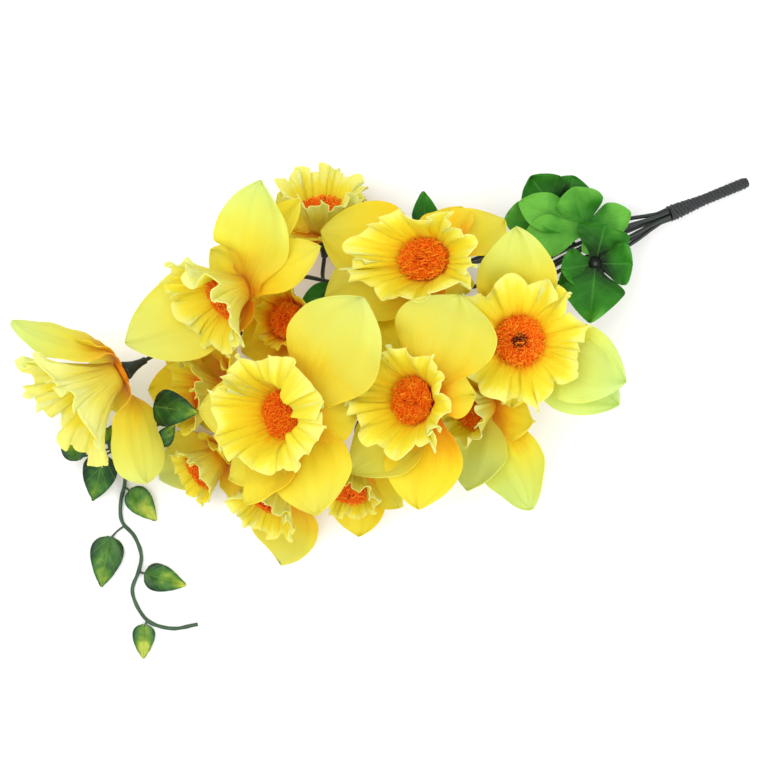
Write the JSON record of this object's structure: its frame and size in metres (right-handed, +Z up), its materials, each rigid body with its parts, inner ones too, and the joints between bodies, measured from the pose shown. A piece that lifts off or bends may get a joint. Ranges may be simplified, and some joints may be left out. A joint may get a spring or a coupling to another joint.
{
  "type": "artificial daffodil bunch",
  "caption": "Bunch of artificial daffodils lying down: ruffled yellow fabric blooms, green leaf whorls and a trailing ivy sprig on thin stems bound into one wrapped end.",
  "frame": {"origin": "centre of the bounding box, at the level of the surface that the bunch lies on", "axes": "+X along the bunch towards its bound end, +Z up from the surface"},
  "size_m": [0.3516, 0.1872, 0.112],
  "materials": {
    "petal": "thin dyed fabric, matte with a soft sheen",
    "corona": "thin ruffled dyed fabric, matte",
    "pad": "dense orange threads, matte",
    "stem": "moulded dark green plastic, semi-matte",
    "leaf": "dyed green fabric with a soft sheen",
    "ivy": "moulded green plastic leaves, satin",
    "binding": "dark wrapped tape, matte"
  },
  "bodies": {
    "root": {"petals_a": "petal", "corona_a": "corona", "pad_a": "pad", "petals_b": "petal", "corona_b": "corona", "pad_b": "pad", "petals_c": "petal", "corona_c": "corona", "pad_c": "pad", "petals_d": "petal", "corona_d": "corona", "pad_d": "pad", "petals_e": "petal", "corona_e": "corona", "pad_e": "pad", "petals_f": "petal", "corona_f": "corona", "pad_f": "pad", "petals_g": "petal", "corona_g": "corona", "pad_g": "pad", "petals_h": "petal", "corona_h": "corona", "pad_h": "pad", "petals_i": "petal", "corona_i": "corona", "pad_i": "pad", "petals_j": "petal", "corona_j": "corona", "pad_j": "pad", "petals_k": "petal", "corona_k": "corona", "pad_k": "pad", "petals_l": "petal", "corona_l": "corona", "pad_l": "pad", "petals_m": "petal", "corona_m": "corona", "pad_m": "pad", "stem_cb": "stem", "stem_am": "stem", "stem_fk": "stem", "stem_el": "stem", "stem_dh": "stem", "stem_j": "stem", "stem_gi": "stem", "whorl_upper": "leaf", "whorl_lower": "leaf", "whorl_back": "leaf", "whorl_middle": "leaf", "whorl_top": "leaf", "ivy": "ivy", "handle": "binding"}
  },
  "joints": []
}
